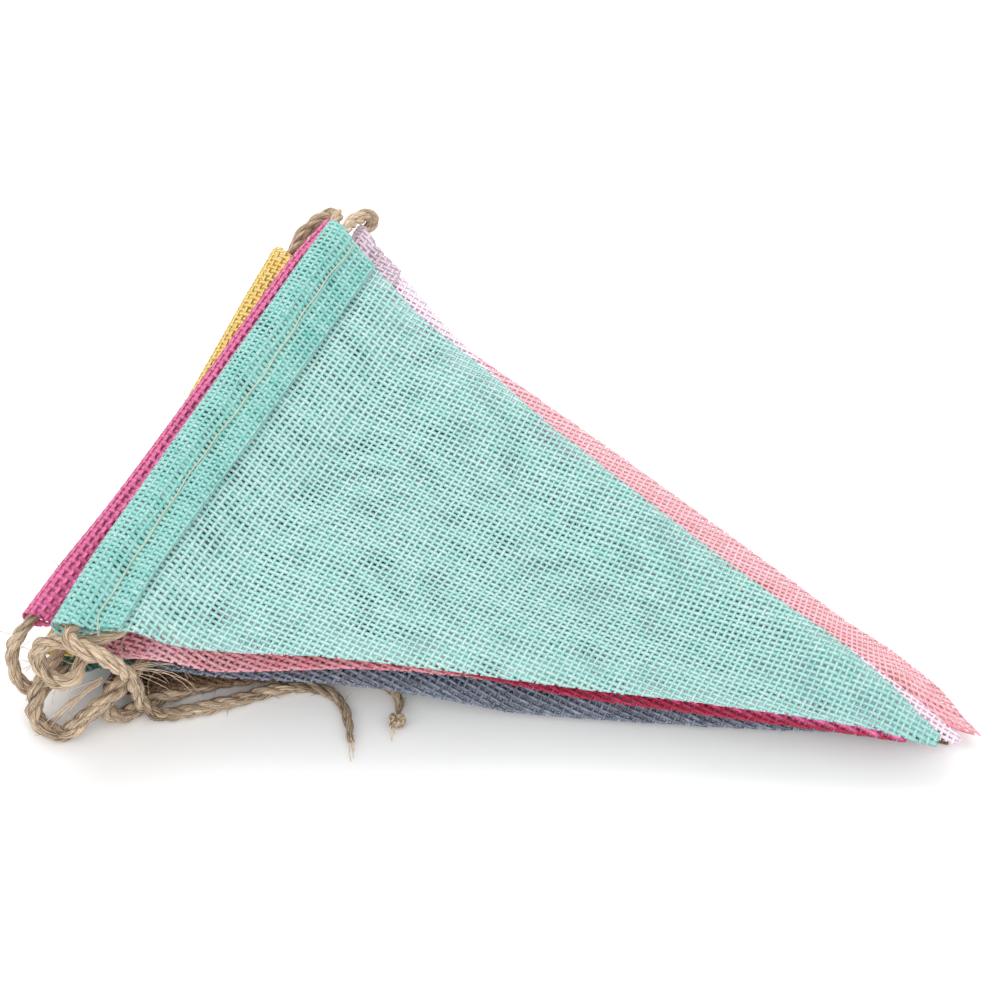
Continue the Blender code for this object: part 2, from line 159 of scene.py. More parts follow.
# x, y: middle of the fold line on the table. Turn: in degrees. Tip: half the width at the tip.
# Lean: how far the tip lies to the side. Cut: slant of the cut tip. Bow and draw: how far the near
# and the far side curve inwards. Twine: how far the twine lies from the fold line.
PENNANT_COLUMNS = (
    "name", "x", "y", "turn", "width", "length", "tip", "lean", "cut", "bow", "draw", "twine",
)
PENNANTS = (
    ("amber", 6.0, 1.4, 2.5, 144, 198, 1.5, 0, 0, 12.0, 0, FOLD_R),
    ("teal", -6.5, 4.0, 1.5, 149, 203, 1.5, 0, 0, 5.0, 0, FOLD_R),
    ("navy", 14.0, 8.7, 0.6, 142, 186, 1.5, -2.5, 0, -0.6, 7.0, FOLD_R),
    ("yellow", -13.0, 3.2, 4.5, 148, 207, 1.5, 0, 0, 3.0, 0, 5.5),
    ("coral", 0.2, 3.8, 2.8, 153, 204.0, 3.8, 2.5, -7.0, 5.0, -3.0, FOLD_R),
    ("magenta", -9.8, 8.1, -2.5, 153, 205, 1.5, 3.5, 0, 2.0, 0, FOLD_R),
    ("lilac", 7.8, 10.1, 3.2, 149.5, 199.0, 1.5, -14.8, 0, 5.0, 7.5, FOLD_R),
    ("mint", 0.0, 0.0, 0.0, 150, 203.0, 1.5, 2.0, 0, 4.7, -1.5, 5.4),
)
# Grid on which the CAD under-face is read: its step and columns, how near its outer columns are to
# the sides, how far it runs on past the tip, how near the tip it is read, and from how deep.
FINE_STEP = 1.0
FINE_COLUMNS = 33
FINE_SIDE = 0.985
PAST_TIP = 12.0
TIP_INSET = 0.4
RAY_START = -5.0
pennants = {row[0]: dict(zip(PENNANT_COLUMNS, row)) for row in PENNANTS}


def half_width(pennant, u):
    """Half the pennant's width at the distance u from its fold line."""
    half = 0.5 * pennant["width"]
    return half + (pennant["tip"] - half) * np.clip(u / pennant["length"], 0.0, 1.0)


def drawn_in(pennant, u, s):
    """Sideways move that bows the near (s = -1) and far (s = 1) side of the cut inwards."""
    inward = 0.5 * (pennant["bow"] * (1.0 - s) - pennant["draw"] * (1.0 + s))
    return inward * np.sin(np.pi * np.clip(u / pennant["length"], 0.0, 1.0))


def on_table(pennant, u, s):
    """Table position of a point u along the pennant and s (-1 to 1) across it."""
    share = u / pennant["length"]
    across = s * half_width(pennant, u) + pennant["lean"] * share + drawn_in(pennant, u, s)
    along = u + pennant["cut"] * s * np.clip(share, 0.0, 1.0) ** 4
    turn = math.radians(pennant["turn"])
    x = pennant["x"] + along * math.cos(turn) - across * math.sin(turn)
    y = pennant["y"] + along * math.sin(turn) + across * math.cos(turn)
    return x, y


def cad_face(pennant):
    """Under-face of the CAD pennant on a fine grid: straight up from the table to its first face.
    Rows are millimetres from the fold, columns go from the near side to the far side."""
    mesh = bpy.data.objects["pennant_" + pennant["name"]].data
    corners = [vertex.co for vertex in mesh.vertices]
    solid = BVHTree.FromPolygons(corners, [list(face.vertices) for face in mesh.polygons])
    rows = np.arange(0.0, pennant["length"] + PAST_TIP, FINE_STEP)
    rows = np.clip(rows, FOLD_R, pennant["length"] - TIP_INSET)
    columns = np.linspace(-FINE_SIDE, FINE_SIDE, FINE_COLUMNS)
    u, s = np.meshgrid(rows, columns, indexing="ij")
    x, y = on_table(pennant, u, s)
    below = in_metres(np.stack([x.ravel(), y.ravel(), np.full(x.size, RAY_START)], axis=-1))
    rises = [solid.ray_cast(spot, (0.0, 0.0, 1.0))[3] for spot in below.tolist()]
    return np.array(rises).reshape(u.shape) / MM + RAY_START


for pennant in pennants.values():
    pennant["face"] = cad_face(pennant)

# Order of the pockets on the twine, points of the twine in each, and its straight run out of them.
STRING_ORDER = ("mint", "lilac", "coral", "navy", "yellow", "magenta", "teal", "amber")
POCKET_POINTS = 9
EXIT_RUN = 2.5
# The two tails from their free ends to the stack, in x, y and z.
TAIL_OF_MINT = (
    (70.6, -54.1, 1.6), (67.0, -48.4, 1.6), (61.6, -43.6, 1.6), (54.6, -43.2, 1.6),
    (48.0, -47.0, 1.6), (41.4, -53.0, 1.6), (34.6, -59.6, 1.6), (27.8, -65.0, 1.6),
    (23.2, -67.6, 2.2), (20.2, -68.4, 5.6), (19.6, -69.0, 12.0), (18.8, -70.2, 19.0),
    (16.8, -72.2, 25.0), (13.2, -74.4, 29.6), (9.6, -76.0, 32.4),
)
TAIL_OF_AMBER = (
    (77.3, -41.2, 1.6), (76.6, -38.6, 1.6), (73.0, -35.2, 1.6), (66.0, -34.4, 1.6),
    (57.0, -36.6, 1.6), (48.0, -41.4, 1.6), (40.0, -46.8, 1.6), (33.0, -52.2, 1.6),
    (27.0, -57.6, 1.6), (21.6, -63.0, 1.6), (18.0, -68.2, 1.6), (15.8, -72.6, 2.6),
    (13.6, -74.4, 5.2),
)
# Points of the loop after each pocket: the share of the straight way to the next pocket, and how
# far the point is off that way in x, y and z.
LOOPS = (
    ((0.25, -1.6, 3.4, -1.8), (0.50, -1.0, 6.1, -1.9), (0.75, 1.0, 5.4, -2.2)),
    ((0.11, -6.0, -3.7, -0.4), (0.22, -10.2, -5.5, 0.2), (0.33, -13.8, -6.5, 0.2),
     (0.44, -14.6, -7.0, -1.5), (0.56, -12.7, -7.4, -3.5), (0.67, -8.8, -7.6, -4.8),
     (0.78, -4.1, -6.5, -4.6), (0.89, -0.6, -4.0, -2.9)),
    ((0.25, -3.0, 2.2, -0.2), (0.50, -3.3, 4.4, -0.8), (0.75, -1.1, 4.3, -1.1)),
    ((0.10, -0.2, -4.6, -2.2), (0.20, -0.1, -8.2, -3.6), (0.30, -1.3, -11.7, -7.3),
     (0.40, -1.8, -14.5, -10.6), (0.50, -3.5, -15.8, -12.9), (0.60, -5.7, -15.3, -13.2),
     (0.70, -6.9, -13.3, -11.2), (0.80, -5.6, -11.0, -7.1), (0.90, -2.9, -7.2, -3.5)),
    ((0.20, -2.1, 2.0, -0.9), (0.40, -2.9, 4.2, -1.0), (0.60, -2.5, 6.2, -0.4),
     (0.80, -0.4, 6.5, -0.3)),
    ((0.17, -3.5, -2.1, -1.3), (0.33, -4.6, -4.6, -3.3), (0.50, -4.2, -6.3, -5.2),
     (0.67, -2.6, -6.4, -5.8), (0.83, -0.7, -4.1, -4.4)),
    ((0.25, -3.0, 3.9, 1.1), (0.50, -2.8, 7.3, 0.3), (0.75, -0.5, 6.8, -0.3)),
)


def pocket_run(k):
    """Twine through pocket number k of the string, with a straight level run at each end."""
    pennant = pennants[STRING_ORDER[k]]
    u = np.full(POCKET_POINTS, pennant["twine"])
    x, y = on_table(pennant, u, np.linspace(-1.0, 1.0, POCKET_POINTS))
    pocket_floor = pennant["face"][0, ::(FINE_COLUMNS - 1) // (POCKET_POINTS - 1)]
    line = np.stack([x, y, pocket_floor + FOLD_R], axis=-1)
    line = line if k % 2 == 0 else line[::-1]
    outward = [line[0] - line[1], line[-1] - line[-2]]
    for way in outward:
        way[2] = 0.0
        way *= EXIT_RUN / np.linalg.norm(way)
    return np.vstack([line[0] + outward[0], line, line[-1] + outward[1]])


def twine_route():
    """Points of the whole twine, from the tail at the top pennant to the knotted tail, and how
    thick the twine is at each."""
    runs = [pocket_run(k) for k in range(len(STRING_ORDER))]
    points = [np.array(TAIL_OF_MINT)]
    thickness = [np.linspace(*THICK_TAIL, len(TAIL_OF_MINT))]
    for k, run in enumerate(runs):
        points.append(run)
        thickness.append(np.full(len(run), THICK_IN_POCKET))
        if k < len(LOOPS):
            loop = np.array(LOOPS[k])
            between = run[-1] + (runs[k + 1][0] - run[-1]) * loop[:, :1]
            points.append(between + loop[:, 1:])
            thickness.append(np.full(len(loop), THICK_LOOPS[k]))
    points.append(np.array(TAIL_OF_AMBER)[::-1])
    thickness.append(np.linspace(*THICK_TAIL[::-1], len(TAIL_OF_AMBER)))
    return np.concatenate(points), np.concatenate(thickness)


# The least distance between two points of a line, and the samples of its curve for each point.
LEAST_GAP = 0.01
LINE_SAMPLES = 12


def smooth_line(points, values, step):
    """Even points on a cubic through the given ones, with tangents from the neighbours. Returns
    them with their distances along the line and the values carried along it."""
    gaps = np.sqrt(np.maximum(np.linalg.norm(np.diff(points, axis=0), axis=1), LEAST_GAP))
    knots = np.concatenate([[0.0], np.cumsum(gaps)])
    slope = np.diff(points, axis=0) / gaps[:, None]
    before = gaps[:-1, None]
    after = gaps[1:, None]
    tangent = np.empty_like(points)
    tangent[1:-1] = (slope[:-1] * after + slope[1:] * before) / (after + before)
    tangent[0] = slope[0]
    tangent[-1] = slope[-1]
    t = np.linspace(0.0, knots[-1], LINE_SAMPLES * len(points))
    k = np.clip(np.searchsorted(knots, t, side="right") - 1, 0, len(gaps) - 1)
    a = ((t - knots[k]) / gaps[k])[:, None]
    h = gaps[k][:, None]
    line = (
        (2 * a**3 - 3 * a**2 + 1) * points[k] + (a**3 - 2 * a**2 + a) * h * tangent[k]
        + (-2 * a**3 + 3 * a**2) * points[k + 1] + (a**3 - a**2) * h * tangent[k + 1]
    )
    lengths = np.concatenate([[0.0], np.cumsum(np.linalg.norm(np.diff(line, axis=0), axis=1))])
    even = np.linspace(0.0, lengths[-1], int(lengths[-1] / step) + 1)
    carried = np.interp(np.interp(even, lengths, t), knots, values)
    evened = np.stack([np.interp(even, lengths, line[:, c]) for c in range(3)], axis=-1)
    return evened, even, carried


def carried_frame(line):
    """Unit tangent and two unit normals along a line, turned as little as possible from one point
    to the next."""
    tangent = np.gradient(line, axis=0)
    tangent /= np.linalg.norm(tangent, axis=1)[:, None]
    side = np.cross(tangent[0], [0.0, 0.0, 1.0])
    sides = []
    for way in tangent:
        side = side - way * np.dot(side, way)
        side = side / np.linalg.norm(side)
        sides.append(side)
    sides = np.array(sides)
    return tangent, sides, np.cross(tangent, sides)


def unit(vectors):
    """Vectors of length one."""
    return vectors / np.maximum(np.linalg.norm(vectors, axis=-1, keepdims=True), 1e-9)


def tube(line, radius, sides):
    """Closed tube along a line: rings of points round it, quads between them, and end caps. The
    radius is one number, one for each ring, or one for each point of each ring."""
    tangent, side, up = carried_frame(line)
    angle = np.linspace(0.0, 2.0 * np.pi, sides, endpoint=False)
    radius = np.asarray(radius, dtype=float)
    radius = np.broadcast_to(radius[:, None] if radius.ndim == 1 else radius, (len(line), sides))
    ring = side[:, None] * np.cos(angle)[None, :, None] + up[:, None] * np.sin(angle)[None, :, None]
    vertices = (line[:, None] + radius[..., None] * ring).reshape(-1, 3)
    i, j = np.meshgrid(np.arange(len(line) - 1), np.arange(sides), indexing="ij")
    after = (j + 1) % sides
    here = i * sides
    beyond = (i + 1) * sides
    quads = np.stack([here + j, here + after, beyond + after, beyond + j], axis=-1)
    first = np.arange(sides)[::-1].reshape(1, -1)
    last = (len(line) - 1) * sides + np.arange(sides).reshape(1, -1)
    return vertices, [quads.reshape(-1, 4), first, last]


def joined(parts):
    """Several vertex and face sets as one."""
    vertices = []
    faces = []
    count = 0
    for points, blocks in parts:
        vertices.append(points)
        faces += [block + count for block in blocks]
        count += len(points)
    return np.concatenate(vertices), faces


# A ply's radius, the radius on which it circles the twine's line, and the length of one turn.
PLY_R = 0.88
PLY_ORBIT = 0.80
PLY_SIDES = 8
LAY_PITCH = 14.0
TWINE_STEP = 0.85
SMOOTHING_PASSES = 8
# Thickness as a share of the usual one: in the pockets, from a tail's end to the stack, in each
# loop, the least with which it is held above the table, and at the very ends, from where it grows
# by END_TAPER a millimetre.
THICK_IN_POCKET = 0.98
THICK_TAIL = (0.9, 1.36)
THICK_LOOPS = (1.16, 1.38, 1.05, 1.44, 1.12, 1.18, 1.05)
THICK_LEAST = 0.9
THICK_END = 0.62
END_TAPER = 0.05
# How uneven the twine and its plies are: by how much, and over how many places that changes.
THICKNESS_WAVER = (0.10, 14)
TURN_WAVER = (0.5, 22)
ORBIT_WAVER = (0.16, 8)
PLY_WAVER = (0.12, 6)
SHADE_WAVER = (0.14, 12)
WAVER_SPREAD = 0.6
route, route_thickness = twine_route()
centre_line, twine_along, thickness = smooth_line(route, route_thickness, TWINE_STEP)
for _ in range(SMOOTHING_PASSES):
    centre_line[1:-1] = (centre_line[:-2] + 2.0 * centre_line[1:-1] + centre_line[2:]) / 4.0
uneven = np.random.default_rng(5)


def waver(amount, reach):
    """Smooth random row of numbers along the twine: up to about the amount, changing over reach
    places."""
    count = len(twine_along)
    knots = uneven.normal(0.0, WAVER_SPREAD, max(int(count / reach) + 3, 4))
    places = np.linspace(0.0, len(knots) - 1.0, count)
    return amount * np.interp(places, np.arange(len(knots)), knots)


from_end = np.minimum(twine_along, twine_along[-1] - twine_along)
thickness = thickness * (1.0 + waver(*THICKNESS_WAVER))
thickness = thickness * np.minimum(1.0, THICK_END + END_TAPER * from_end)
lowest = (PLY_R + PLY_ORBIT) * np.maximum(thickness, THICK_LEAST)
centre_line[:, 2] = np.maximum(centre_line[:, 2], lowest)
twine_tangent, twine_side, twine_up = carried_frame(centre_line)

# Inputs of the fibre node group, the detail and the middle of its noise, and the ridges' height in
# metres.
FIBRE_INPUTS = (
    ("Lay", "NodeSocketVector"), ("Shade", "NodeSocketFloat"), ("Streaks", "NodeSocketFloat"),
    ("Contrast", "NodeSocketFloat"), ("Ridges", "NodeSocketFloat"),
    ("Deep", "NodeSocketColor"), ("Pale", "NodeSocketColor"),
)
NOISE_DETAIL = 3.0
NOISE_MIDDLE = 0.5
RIDGE_HEIGHT = 0.0002


def fibre_tone_group():
    """Node group for spun fibre: noise drawn out along the yarn moves the tone between a deep and
    a pale colour round the shade of each point, and raises fine ridges."""
    group = bpy.data.node_groups.new("fibre_tone", "ShaderNodeTree")
    for name, kind in FIBRE_INPUTS:
        group.interface.new_socket(name=name, in_out="INPUT", socket_type=kind)
    group.interface.new_socket(name="Colour", in_out="OUTPUT", socket_type="NodeSocketColor")
    group.interface.new_socket(name="Normal", in_out="OUTPUT", socket_type="NodeSocketVector")
    given = group.nodes.new("NodeGroupInput")
    result = group.nodes.new("NodeGroupOutput")
    noise = group.nodes.new("ShaderNodeTexNoise")
    noise.inputs["Detail"].default_value = NOISE_DETAIL
    group.links.new(given.outputs["Lay"], noise.inputs["Vector"])
    group.links.new(given.outputs["Streaks"], noise.inputs["Scale"])
    centred = group.nodes.new("ShaderNodeMath")
    centred.operation = "SUBTRACT"
    centred.inputs[1].default_value = NOISE_MIDDLE
    group.links.new(noise.outputs["Fac"], centred.inputs[0])
    tone = group.nodes.new("ShaderNodeMath")
    tone.operation = "MULTIPLY_ADD"
    tone.use_clamp = True
    group.links.new(centred.outputs["Value"], tone.inputs[0])
    group.links.new(given.outputs["Contrast"], tone.inputs[1])
    group.links.new(given.outputs["Shade"], tone.inputs[2])
    blend = group.nodes.new("ShaderNodeMix")
    blend.data_type = "RGBA"
    group.links.new(tone.outputs["Value"], blend.inputs["Factor"])
    group.links.new(given.outputs["Deep"], blend.inputs["A"])
    group.links.new(given.outputs["Pale"], blend.inputs["B"])
    bump = group.nodes.new("ShaderNodeBump")
    bump.inputs["Distance"].default_value = RIDGE_HEIGHT
    group.links.new(given.outputs["Ridges"], bump.inputs["Strength"])
    group.links.new(noise.outputs["Fac"], bump.inputs["Height"])
    group.links.new(blend.outputs["Result"], result.inputs["Colour"])
    group.links.new(bump.outputs["Normal"], result.inputs["Normal"])
    return group


fibre_tone = fibre_tone_group()


def fibre_material(name, deep, pale, roughness, streaks, contrast, ridges):
    """Spun fibre between a deep and a pale tone, by the shade and lay attributes of the piece."""
    material, shader, tree = plain_material(name, pale, roughness)
    tones = tree.nodes.new("ShaderNodeGroup")
    tones.node_tree = fibre_tone
    tones.inputs["Streaks"].default_value = streaks
    tones.inputs["Contrast"].default_value = contrast
    tones.inputs["Ridges"].default_value = ridges
    tones.inputs["Deep"].default_value = (*deep, 1.0)
    tones.inputs["Pale"].default_value = (*pale, 1.0)
    for attribute, output, socket in (("lay", "Vector", "Lay"), ("shade", "Fac", "Shade")):
        reader = tree.nodes.new("ShaderNodeAttribute")
        reader.attribute_name = attribute
        tree.links.new(reader.outputs[output], tones.inputs[socket])
    tree.links.new(tones.outputs["Colour"], shader.inputs["Base Color"])
    tree.links.new(tones.outputs["Normal"], shader.inputs["Normal"])
    return material


def add_fibre_fields(piece, shade, lay):
    """Store the shade and the place on the yarn (across, around, along) of every vertex."""
    field = piece.data.attributes.new("shade", "FLOAT", "POINT")
    field.data.foreach_set("value", np.asarray(shade, dtype=np.float32))
    field = piece.data.attributes.new("lay", "FLOAT_VECTOR", "POINT")
    field.data.foreach_set("vector", np.asarray(lay, dtype=np.float32).ravel())


# Lobes round a ply: how they turn with the distance along it, how uneven and how high they are.
LOBE_TWIST = 0.22
LOBE_UNEVEN = 0.5
LOBE_HEIGHT = 0.07
# Grain of the fibres on a ply: its twist, its scale round and along, and how far plies are apart.
GRAIN_TWIST = 0.35
GRAIN_ROUND = 1.4
GRAIN_ALONG = 0.10
GRAIN_APART = 9.0
# Shade of the jute, and the painted light that makes it paler with the height above the middle of
# the stack and deeper below it, where the stack shades it.
JUTE_SHADE = 0.46
PAINTED_LIGHT_RISE = 0.008
STACK_MIDDLE = 14.0
plies = []
ply_lay = []
ply_shade = []
ply_angle = np.linspace(0.0, 2.0 * np.pi, PLY_SIDES, endpoint=False)[None, :]
for ply in range(3):
    turn = 2.0 * np.pi * (twine_along / LAY_PITCH + ply / 3.0) + waver(*TURN_WAVER)
    orbit = PLY_ORBIT * thickness * (1.0 + waver(*ORBIT_WAVER))
    ring = twine_side * np.cos(turn)[:, None] + twine_up * np.sin(turn)[:, None]
    lobes = np.sin(3.0 * ply_angle + LOBE_TWIST * twine_along[:, None] + ply)
    lobes = lobes + uneven.normal(0.0, LOBE_UNEVEN, (len(twine_along), PLY_SIDES))
    thick = PLY_R * thickness * (1.0 + waver(*PLY_WAVER))
    radius = thick[:, None] * (1.0 + LOBE_HEIGHT * lobes)
    plies.append(tube(centre_line + orbit[:, None] * ring, radius, PLY_SIDES))
    along = np.repeat(twine_along, PLY_SIDES)
    around = np.tile(ply_angle[0], len(twine_along)) + GRAIN_TWIST * along
    ply_lay.append(np.stack([
        GRAIN_ROUND * np.cos(around) + GRAIN_APART * ply,
        GRAIN_ROUND * np.sin(around),
        GRAIN_ALONG * along,
    ], axis=-1))
    # Painted light: the twine is paler high on the stack and deeper low down, where the stack
    # shades it.
    height_painted_light = PAINTED_LIGHT_RISE * (centre_line[:, 2] - STACK_MIDDLE)
    ply_shade.append(np.repeat(JUTE_SHADE + height_painted_light + waver(*SHADE_WAVER), PLY_SIDES))
jute_material = fibre_material(
    "jute_twine", deep=(0.09, 0.05, 0.026), pale=(0.82, 0.64, 0.455),
    roughness=0.8, streaks=2.6, contrast=2.5, ridges=0.9,
)
twine = mesh_piece("jute_twine", *joined(plies), jute_material)
add_fibre_fields(twine, np.concatenate(ply_shade), np.concatenate(ply_lay))
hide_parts("twine")
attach(twine, "root")

# Knot at the end of the bottom pennant's tail: the twine's own end turned once round itself and
# pulled tight, here a trefoil in the place of the small CAD knot. It is jute like the twine.
KNOT_PLACE = np.array([78.3, -44.1, 2.3])
KNOT_SCALE = np.array([0.5, 0.5, 0.9])
KNOT_POINTS = 60
KNOT_STRAND_R = 0.85
KNOT_UNEVEN = 0.08
KNOT_SHADE = 0.42
KNOT_GRAIN = 0.8
turn = np.linspace(0.0, 2.0 * np.pi, KNOT_POINTS)
knot_line = np.stack([
    np.sin(turn) + 2.0 * np.sin(2.0 * turn),
    np.cos(turn) - 2.0 * np.cos(2.0 * turn),
    -np.sin(3.0 * turn),
], axis=-1)
knot_line = KNOT_PLACE + knot_line * KNOT_SCALE
knot_radius = KNOT_STRAND_R + KNOT_UNEVEN * np.sin(5.0 * turn)
knot_vertices, knot_faces = tube(knot_line, knot_radius, PLY_SIDES)
knot = mesh_piece("tail_knot_wound", knot_vertices, knot_faces, jute_material)
knot_lay = (knot_vertices - KNOT_PLACE) * KNOT_GRAIN
add_fibre_fields(knot, np.full(len(knot_vertices), KNOT_SHADE), knot_lay)
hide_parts("tail_knot")
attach(knot, "root")

# Loose fibres of the jute twine, held by its twist: short hairs all along it, and longer wisps that
# have sprung out of it at the near corner of the stack and at the ends of the tails.

# Number and form of the hairs: how steeply they leave the twine and how far they lean along it, how
# much they bend, how far from its ends they stay, their tones and grain, and how near the table
# they come. They are broad at the root and flat towards FLAT_SIDE.
HAIRS = 620
HAIR_POINTS = 7
HAIR_WIDTH = 0.12
HAIR_ROOT = 1.25
HAIR_TAPER = 0.75
HAIR_LENGTH = (1.6, 4.6)
HAIR_RISE = (0.3, 1.0)
HAIR_LEAN = 0.8
HAIR_BEND = 0.28
HAIR_END_RINGS = 4
HAIR_TONE = (0.4, 0.9)
HAIR_GRAIN = 0.37
HAIR_LOWEST = 0.15
FLAT_SIDE = [0.3, 0.2, 0.93]
# The wisps' width, how far their starts and arches differ, what scales the arch to its height, and
# how much paler they are than the hairs.
WISP_WIDTH = 0.28
WISP_START_SPREAD = 0.4
WISP_ARCH_SPREAD = 0.25
WISP_ARCH = 6.8
WISP_PALER = 0.5
# Start and end of each bunch, how many wisps it has, how far their ends spread, how high they arch.
WISP_COLUMNS = ("start", "end", "count", "spread", "arch")
WISPS = (
    ((16.2, -69.4, 20.4), (28.4, -57.8, 3.2), 5, 1.5, 4.6),
    ((16.8, -69.2, 19.6), (24.0, -60.6, 3.2), 3, 1.3, 3.0),
    ((15.4, -69.8, 20.0), (23.4, -56.4, 7.0), 2, 1.2, 3.2),
    ((9.6, -71.6, 12.5), (1.4, -82.6, 2.0), 9, 1.1, 1.6),
    ((11.0, -71.0, 14.0), (5.0, -79.6, 4.0), 5, 1.2, 2.2),
    ((3.0, -74.0, 14.0), (-4.0, -78.0, 8.0), 5, 1.6, 1.5),
    ((13.0, -71.0, 14.0), (15.0, -66.0, 6.0), 4, 1.2, 0.8),
    ((0.0, -76.0, 20.0), (-8.0, -74.0, 13.0), 5, 1.5, 1.2),
    ((69.8, -53.0, 1.6), (72.4, -57.0, 0.6), 5, 0.7, 0.2),
    ((78.2, -46.0, 2.4), (79.2, -48.6, 0.7), 4, 0.5, 0.2),
)


def yarns(left, right, lift, kept, sides):
    """Flat closed tubes of three or four sides between two grids of rails, one tube for each row,
    where kept. The lift is half the tube's thickness as a vector. Returns vertices, faces and, for
    each vertex, its row, its place along and its place around."""
    rows, count = kept.shape
    middle = 0.5 * (left + right)
    if sides == 4:
        ring = [right, middle + lift, left, middle - lift]
    else:
        ring = [right - 0.5 * lift, middle + 1.2 * lift, left - 0.5 * lift]
    ring = np.stack(ring, axis=2)
    start = (np.arange(rows)[:, None] * count + np.arange(count)[None, :]) * sides
    both = kept[:, :-1] & kept[:, 1:]
    before = start[:, :-1][both]
    after = start[:, 1:][both]
    k = np.arange(sides)
    following = (k + 1) % sides
    quads = np.stack([
        before[:, None] + k, before[:, None] + following,
        after[:, None] + following, after[:, None] + k,
    ], axis=-1).reshape(-1, 4)
    edge = np.zeros((rows, 1), dtype=bool)
    begins = np.concatenate([both[:, :1], both[:, 1:] & ~both[:, :-1], edge], axis=1)
    ends = np.concatenate([edge, both[:, :-1] & ~both[:, 1:], both[:, -1:]], axis=1)
    first = start[begins][:, None] + k[::-1]
    last = start[ends][:, None] + k
    used = np.unique(np.concatenate([quads.ravel(), first.ravel(), last.ravel()]))
    number = np.full(rows * count * sides, -1)
    number[used] = np.arange(len(used))
    vertices = ring.reshape(-1, 3)[used]
    place = (used // (count * sides), (used // sides) % count, used % sides)
    return vertices, [number[quads], number[first], number[last]], place


hair_at = uneven.integers(HAIR_END_RINGS, len(centre_line) - HAIR_END_RINGS, HAIRS)
hair_turn = uneven.uniform(0.0, 2.0 * np.pi, HAIRS)[:, None]
hair_out = twine_side[hair_at] * np.cos(hair_turn) + twine_up[hair_at] * np.sin(hair_turn)
hair_rise = uneven.uniform(*HAIR_RISE, (HAIRS, 1))
hair_sense = uneven.choice([-1.0, 1.0], (HAIRS, 1))
hair_way = unit(hair_out * hair_rise + twine_tangent[hair_at] * hair_sense * HAIR_LEAN)
hair_length = uneven.uniform(*HAIR_LENGTH, (HAIRS, 1))
hair_bend = uneven.normal(0.0, HAIR_BEND, (HAIRS, 3)) * hair_length
hair_start = centre_line[hair_at] + hair_out * (PLY_R * thickness[hair_at])[:, None]
wisp_start = []
wisp_end = []
wisp_bend = []
for row in WISPS:
    wisp = dict(zip(WISP_COLUMNS, row))
    count = wisp["count"]
    arch = np.array([0.0, 0.0, wisp["arch"]])
    arch_spread = WISP_ARCH_SPREAD * wisp["arch"]
    wisp_start.append(np.array(wisp["start"]) + uneven.normal(0.0, WISP_START_SPREAD, (count, 3)))
    wisp_end.append(np.array(wisp["end"]) + uneven.normal(0.0, wisp["spread"], (count, 3)))
    wisp_bend.append(arch + uneven.normal(0.0, arch_spread, (count, 3)))
t = np.linspace(0.0, 1.0, HAIR_POINTS)[None, :, None]
hair_points = hair_start[:, None] + (hair_way * hair_length)[:, None] * t
hair_points = hair_points + hair_bend[:, None] * t * t
wisp_start = np.concatenate(wisp_start)[:, None]
wisp_end = np.concatenate(wisp_end)[:, None]
wisp_bend = np.concatenate(wisp_bend)[:, None]
wisp_points = wisp_start + (wisp_end - wisp_start) * t + wisp_bend * WISP_ARCH * t * t * (1.0 - t)
hair_points = np.concatenate([hair_points, wisp_points])
hair_points[..., 2] = np.maximum(hair_points[..., 2], HAIR_LOWEST)
hair_ways = unit(np.gradient(hair_points, axis=1))
hair_side = unit(np.cross(hair_ways, FLAT_SIDE))
is_hair = np.arange(len(hair_points)) < HAIRS
hair_wide = np.where(is_hair, HAIR_WIDTH, WISP_WIDTH)[:, None]
hair_wide = (HAIR_ROOT - HAIR_TAPER * t[..., 0]) * hair_wide
hair_across = hair_side * (0.5 * hair_wide)[..., None]
hair_lift = np.cross(hair_side, hair_ways) * 0.5 * HAIR_WIDTH
hair_vertices, hair_faces, hair_place = yarns(
    hair_points - hair_across, hair_points + hair_across, hair_lift,
    kept=np.ones(hair_points.shape[:2], dtype=bool), sides=3,
)
fluff = mesh_piece("jute_loose_fibres", hair_vertices, hair_faces, jute_material)
hair_tone = uneven.uniform(*HAIR_TONE, len(hair_points)) + np.where(is_hair, 0.0, WISP_PALER)
hair_lay = np.stack([hair_place[0], hair_place[2], hair_place[1]], axis=-1) * HAIR_GRAIN
add_fibre_fields(fluff, hair_tone[hair_place[0]], hair_lay)
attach(fluff, "root")

# Pennants: plain-woven cloth of flat glossy yarns, cut to a triangle with raw edges. The wide end
# is folded over the twine and sewn down. Each is woven here yarn by yarn, on the height of its
# CAD pennant: the warp runs from hem to tip, the weft along the hem.

# Spacing, width and thickness of the yarns, how far they rise and sink, and how far cut ends stick
# out. A yarn is at most as wide as WIDEST.
WARP_PITCH = 1.56
WEFT_PITCH = 1.62
WARP_WIDE = 1.24
WEFT_WIDE = 0.92
YARN_THICK = 0.26
WEAVE_RISE = 0.065
FRAY = 0.12
WIDEST = 1.46
# Where the yarns are uneven: their wander sideways, the width of whole yarns, of places on them and
# in the thin patches, the limits of all that, how much fuller they are in the hem, and how sharp
# and how rare the patches are.
DRIFT = 0.16
ROW_UNEVEN = 0.035
PLACE_UNEVEN = 0.05
PATCH_THINNER = 0.18
THIN_LIMITS = (-0.22, 0.1)
HEM_FULLER = 1.11
PATCH_CONTRAST = 1.4
PATCH_LEVEL = 0.3
